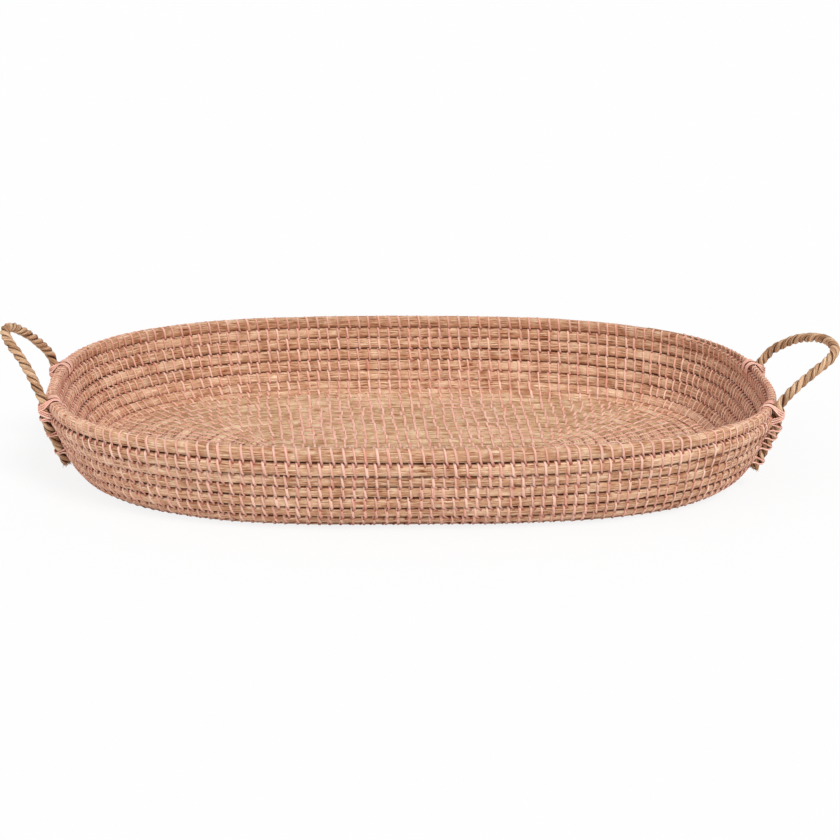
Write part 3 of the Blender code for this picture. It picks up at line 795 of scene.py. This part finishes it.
def fibres(name, slot, starts, ways, bends, lengths, radius, palest, lowest):
    """Thin tubes that start at points and go their way, bending aside with the square of the distance.

    Those that would start under the basket, below the lowest height, are left out.
    """
    clear = starts[:, 2] > lowest
    starts, ways, bends, lengths = (column[clear] for column in (starts, ways, bends, lengths))
    tones = random.uniform(0, palest, (len(starts), 1, 1))
    steps = np.linspace(0, 1, len(FIBRE_TAPER))
    path = starts[:, None] + lengths[:, None, None] * (
        ways[:, None] * steps[None, :, None] + bends[:, None] * (steps**2)[None, :, None]
    )
    run = unit(np.gradient(path, axis=1))
    side = unit(np.cross(run, np.array([0.31, 0.17, 0.94])))
    lift = np.cross(side, run)
    angles = np.radians([90.0, 210.0, 330.0])
    girth = radius * FIBRE_TAPER
    rings = path[:, :, None] + girth[None, :, None, None] * (
        side[:, :, None] * np.cos(angles)[:, None] + lift[:, :, None] * np.sin(angles)[:, None]
    )
    along_fibre = lengths[:, None] * steps + random.uniform(0, 9, (len(starts), 1))
    thing = tubes(name, rings, along_fibre, np.linspace(0, FIBRE_ROUND, 4), tones)
    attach(thing, "basket")
    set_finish(thing, slot)


def off_bundle(rows, turn, depth):
    """Points at rows of the table and turns round the bundle, at a share of its radius, and the ways out."""
    across, over = section(turn)
    away = out[rows] * np.cos(turn)[:, None] + up[rows] * np.sin(turn)[:, None]
    reach = depth * (swell * size)[rows]
    spot = body_centre[rows] + out[rows] * (across * BUNDLE_OUT * reach)[:, None]
    return spot + up[rows] * (over * BUNDLE_UP * reach)[:, None], away


tufts = []
for _, path, _ in ropes.values():
    for tip, before in ((path[0], path[4]), (path[-1], path[-5])):
        way = unit(tip - before)
        spread = random.normal(0, 1, (TUFT_FIBRES, 3))
        spread = spread - (spread @ way)[:, None] * way
        spread = unit(spread) * np.sqrt(random.uniform(0, 1, (TUFT_FIBRES, 1)))
        bend = spread * 0.35 + random.normal(0, 0.10, (TUFT_FIBRES, 3))
        tufts.append((tip - way * TUFT_DEPTH + spread * TUFT_SPREAD, unit(way + spread * 0.25), bend))
starts, ways, bends = (np.concatenate(part) for part in zip(*tufts))
lengths = random.uniform(*TUFT_LENGTHS, len(starts))
fibres("rope_tufts", "rope", starts, ways, bends, lengths, TUFT_RADIUS, palest=0.7, lowest=0.0)

rows = random.integers(0, len(distance), STRAY_STEMS)
starts, away = off_bundle(rows, random.uniform(0, 2 * np.pi, STRAY_STEMS), 0.97)
ways = along[rows] * random.choice([-1.0, 1.0], (STRAY_STEMS, 1)) + away * 0.05
bends = away * random.normal(0.0, 0.05, (STRAY_STEMS, 1))
lengths = random.uniform(*STEM_LENGTHS, STRAY_STEMS)
fibres("stray_stems", "seagrass", starts, ways, bends, lengths, STEM_RADIUS, palest=1.0, lowest=0.004)

rows = random.integers(len(distance) // 20, len(distance), STRAND_TAILS)
turn = np.radians(random.choice(TAIL_PLACES, STRAND_TAILS) + random.normal(0, 6, STRAND_TAILS))
starts, away = off_bundle(rows, turn, 0.98)
bends = away * random.normal(-0.2, 0.2, (STRAND_TAILS, 1))
lengths = random.uniform(*TAIL_LENGTHS, STRAND_TAILS)
ways = along[rows] + away * 0.25
fibres("strand_tails", "strand", starts, ways, bends, lengths, TAIL_RADIUS, palest=0.6, lowest=0.006)

# %% [markdown]
# ## Stems, leaf and rope
# All the finishes are dry plant fibre: long streaks along the strand, each a little lighter or darker
# than its neighbour, with a fine ridge for every fibre, paler and darker patches, and a few specks.
# Where two courses touch, and in the grooves of rope and strand, a dark red is painted on as shade.
#
# A picture of grass could be wrapped on instead, but noise stretched along the UV map never repeats.
# One node group makes all this, and each material gives it its own colours: stems, the paler stems of
# the floor, pink strand and rope.

# %% The fibre group
SPECK_LENGTH, SPECK_WIDTH = 0.006, 0.0018


def paint(red, green, blue):
    """A colour given in screen values from 0 to 255, as the linear colour that Blender's nodes use."""
    share = np.array([red, green, blue]) / 255
    linear = np.where(share <= 0.04045, share / 12.92, ((share + 0.055) / 1.055) ** 2.4)
    return (*linear.tolist(), 1.0)


def join(links, nodes, kind, values, **settings):
    """A new node with its settings, whose named inputs are linked to sockets or set to values."""
    node = nodes.new(kind)
    for setting, value in settings.items():
        setattr(node, setting, value)
    for place, value in values.items():
        if isinstance(value, bpy.types.NodeSocket):
            links.new(value, node.inputs[place])
        else:
            node.inputs[place].default_value = value
    return node


def fibre_group():
    """Plant fibre: from a place on the UV map to a colour, a roughness and a ridge height."""
    group = bpy.data.node_groups.new("plant fibre", "ShaderNodeTree")
    inputs = {
        "Vector": ("Place",), "Color": ("Dark", "Middle", "Light", "Painted shade colour"),
        "Float": ("Tone", "Painted shade", "Fibre width", "Fibre length", "Patch length", "Tone range"),
    }
    for kind, names in inputs.items():
        for name in names:
            group.interface.new_socket(name, in_out="INPUT", socket_type=f"NodeSocket{kind}")
    for name, kind in (("Colour", "Color"), ("Roughness", "Float"), ("Ridge", "Float")):
        group.interface.new_socket(name, in_out="OUTPUT", socket_type=f"NodeSocket{kind}")
    nodes, links = group.nodes, group.links
    given, leave = nodes.new("NodeGroupInput").outputs, nodes.new("NodeGroupOutput").inputs
    split = join(links, nodes, "ShaderNodeSeparateXYZ", {0: given["Place"]})

    def maths(kind, first, second):
        """One sum, as a node."""
        return join(links, nodes, "ShaderNodeMath", {0: first, 1: second}, operation=kind).outputs[0]

    def noise(length, width, detail):
        """Noise on the UV map, stretched to a length along the strand and a width across it."""
        x, y = maths("DIVIDE", split.outputs[0], length), maths("DIVIDE", split.outputs[1], width)
        place = join(links, nodes, "ShaderNodeCombineXYZ", {0: x, 1: y})
        values = {"Vector": place.outputs[0], "Scale": 1.0, "Detail": detail, "Roughness": 0.6}
        return join(links, nodes, "ShaderNodeTexNoise", values).outputs["Fac"]

    def between(value, low, high, bottom=0.0, top=1.0):
        """A smooth step of the value, from bottom at low to top at high."""
        values = {"Value": value, "From Min": low, "From Max": high, "To Min": bottom, "To Max": top}
        step = join(links, nodes, "ShaderNodeMapRange", values, interpolation_type="SMOOTHSTEP")
        return step.outputs["Result"]

    def blend(share, first, second, kind="MIX"):
        """The first colour with a share of the second mixed in."""
        values = {"Factor": share, "A": first, "B": second}
        mix = join(links, nodes, "ShaderNodeMix", values, data_type="RGBA", blend_type=kind)
        return mix.outputs["Result"]

    streak = noise(given["Fibre length"], given["Fibre width"], 3.0)
    patch = noise(given["Patch length"], given["Patch length"], 3.0)
    speck = noise(SPECK_LENGTH, SPECK_WIDTH, 1.0)
    colour = blend(between(streak, 0.36, 0.48), given["Dark"], given["Middle"])
    colour = blend(between(streak, 0.52, 0.64), colour, given["Light"])
    colour = blend(maths("MULTIPLY", between(patch, 0.50, 0.72), 0.55), colour, given["Light"])
    colour = blend(maths("MULTIPLY", between(given["Tone"], 0.45, 1.1), 0.55), colour, given["Light"])
    colour = blend(maths("MULTIPLY", between(patch, 0.50, 0.30), 0.45), colour, given["Dark"])
    colour = blend(maths("MULTIPLY", between(speck, 0.70, 0.80), 0.75), colour, given["Dark"])
    lowest = maths("SUBTRACT", 1.0, given["Tone range"])
    colour = blend(1.0, colour, between(given["Tone"], 0.0, 1.0, lowest, 1.06), "MULTIPLY")
    # Painted shade: the shade colour is mixed in by the amount of painted shade.
    shaded_share = maths("MULTIPLY", between(given["Painted shade"], 0.0, 0.9), 0.95)
    colour = blend(shaded_share, colour, given["Painted shade colour"])
    links.new(colour, leave["Colour"])
    links.new(between(streak, 0.3, 0.7, 0.72, 0.48), leave["Roughness"])
    links.new(streak, leave["Ridge"])
    return group


plant_fibre = fibre_group()


# %% The finishes
RIDGE_HEIGHT = 0.0010
FIBRE_SHINE = 0.12
# Dark, middle and light colours and the colour of the painted shade, then fibre width, fibre length and
# patch length in metres, the strength of the ridges and the range of tone.
FINISHES = {
    "seagrass": (
        "seagrass stems", (136, 74, 38), (210, 158, 122), (248, 217, 184), (74, 14, 2),
        0.0016, 0.022, 0.018, 1.0, 0.14,
    ),
    "floor": (
        "paler seagrass stems", (140, 92, 54), (205, 160, 122), (242, 217, 184), (112, 40, 20),
        0.0016, 0.022, 0.018, 1.0, 0.14,
    ),
    "strand": (
        "pink palm strand", (224, 148, 128), (240, 185, 165), (248, 215, 197), (150, 46, 16),
        0.0008, 0.030, 0.050, 0.4, 0.12,
    ),
    "rope": (
        "seagrass rope", (106, 68, 44), (200, 152, 114), (244, 212, 176), (92, 52, 32),
        0.0012, 0.014, 0.030, 1.0, 0.20,
    ),
}


def fibre_finish(name, dark, middle, light, painted_shade, width, length, patch, ridge, tone_range):
    """A dry fibre in three colours and a fourth for the painted shade in its creases and grooves, with
    ridges as bump.
    """
    material = bpy.data.materials.new(name)
    material.use_nodes = True
    nodes, links = material.node_tree.nodes, material.node_tree.links
    shader = nodes["Principled BSDF"]
    place = join(links, nodes, "ShaderNodeUVMap", {}, uv_map="fibre")
    tone = join(links, nodes, "ShaderNodeAttribute", {}, attribute_name="tone")
    shade_attribute = join(links, nodes, "ShaderNodeAttribute", {}, attribute_name="painted_shade")
    values = {
        "Place": place.outputs[0], "Tone": tone.outputs["Fac"], "Painted shade": shade_attribute.outputs["Fac"],
        "Dark": paint(*dark), "Middle": paint(*middle), "Light": paint(*light),
        "Painted shade colour": paint(*painted_shade), "Fibre width": width, "Fibre length": length,
        "Patch length": patch, "Tone range": tone_range,
    }
    fibre = join(links, nodes, "ShaderNodeGroup", values, node_tree=plant_fibre)
    values = {"Strength": ridge, "Distance": RIDGE_HEIGHT, "Height": fibre.outputs["Ridge"]}
    bump = join(links, nodes, "ShaderNodeBump", values)
    links.new(fibre.outputs["Colour"], shader.inputs["Base Color"])
    links.new(fibre.outputs["Roughness"], shader.inputs["Roughness"])
    links.new(bump.outputs[0], shader.inputs["Normal"])
    shader.inputs["Specular IOR Level"].default_value = FIBRE_SHINE
    return material


finishes = {use: fibre_finish(*values) for use, values in FINISHES.items()}
for thing in bpy.context.scene.objects:
    if thing.type == "MESH" and not thing.hide_render:
        thing.data.materials.append(finishes["floor" if thing == floor_bundle else thing["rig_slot"]])
print(", ".join(finishes))

# %% [markdown]
# ## Floor and light
# The photograph has no visible floor. Here a white floor keeps a faint shadow, so the basket stands on
# something, and a wide soft light from above the viewer shows every course without hard shadows.

# %% Floor and light
PAPER_SIZE, PAPER_HEIGHT = 30.0, -0.0005
PAPER_WHITE, PAPER_ROUGHNESS, PAPER_GLOW = 0.86, 0.9, 0.85
SKY_LIGHT, SKY_SEEN = 0.50, 1.0


def seen_straight(links, nodes):
    """One for a ray from the camera or off a shiny thing, nought for the light that falls on things."""
    rays = nodes.new("ShaderNodeLightPath").outputs
    values = {0: rays["Is Camera Ray"], 1: rays["Is Glossy Ray"]}
    return join(links, nodes, "ShaderNodeMath", values, operation="MAXIMUM").outputs[0]


floor_mesh = bpy.data.meshes.new("studio_floor")
corners = [(x * PAPER_SIZE, y * PAPER_SIZE, PAPER_HEIGHT) for x, y in ((-1, -1), (1, -1), (1, 1), (-1, 1))]
floor_mesh.from_pydata(corners, [], [(0, 1, 2, 3)])
studio_floor = put("studio_floor", floor_mesh)

paper = bpy.data.materials.new("white paper")
paper.use_nodes = True
nodes, links = paper.node_tree.nodes, paper.node_tree.links
shader = nodes["Principled BSDF"]
shader.inputs["Base Color"].default_value = (PAPER_WHITE, PAPER_WHITE, PAPER_WHITE, 1.0)
shader.inputs["Roughness"].default_value = PAPER_ROUGHNESS
shader.inputs["Specular IOR Level"].default_value = 0.0
glow = join(links, nodes, "ShaderNodeEmission", {"Strength": 1.0})
values = {0: seen_straight(links, nodes), 1: PAPER_GLOW}
share = join(links, nodes, "ShaderNodeMath", values, operation="MULTIPLY")
values = {0: share.outputs[0], 1: shader.outputs[0], 2: glow.outputs[0]}
mix = join(links, nodes, "ShaderNodeMixShader", values)
links.new(mix.outputs[0], nodes["Material Output"].inputs["Surface"])
floor_mesh.materials.append(paper)

world = bpy.data.worlds.new("studio")
bpy.context.scene.world = world
world.use_nodes = True
nodes, links = world.node_tree.nodes, world.node_tree.links
sky = nodes["Background"]
values = {"Value": seen_straight(links, nodes), "To Min": SKY_LIGHT, "To Max": SKY_SEEN}
strength = join(links, nodes, "ShaderNodeMapRange", values)
links.new(strength.outputs["Result"], sky.inputs["Strength"])
sky.inputs["Color"].default_value = (1.0, 1.0, 1.0, 1.0)


def soft_sun(name, place, spread, power):
    """A sun that shines from a point towards the basket, as soft as a window of this many degrees."""
    lamp = bpy.data.lights.new(name, "SUN")
    lamp.angle = math.radians(spread)
    lamp.energy = power
    thing = put(name, lamp)
    thing.location = place
    thing.rotation_euler = (-Vector(place)).to_track_quat("-Z", "Y").to_euler()


soft_sun("key_sun", (0.9, -1.3, 1.8), spread=24.0, power=2.0)
soft_sun("fill_sun", (-1.5, -0.8, 1.1), spread=50.0, power=0.7)

bpy.context.scene.view_settings.view_transform = "Standard"
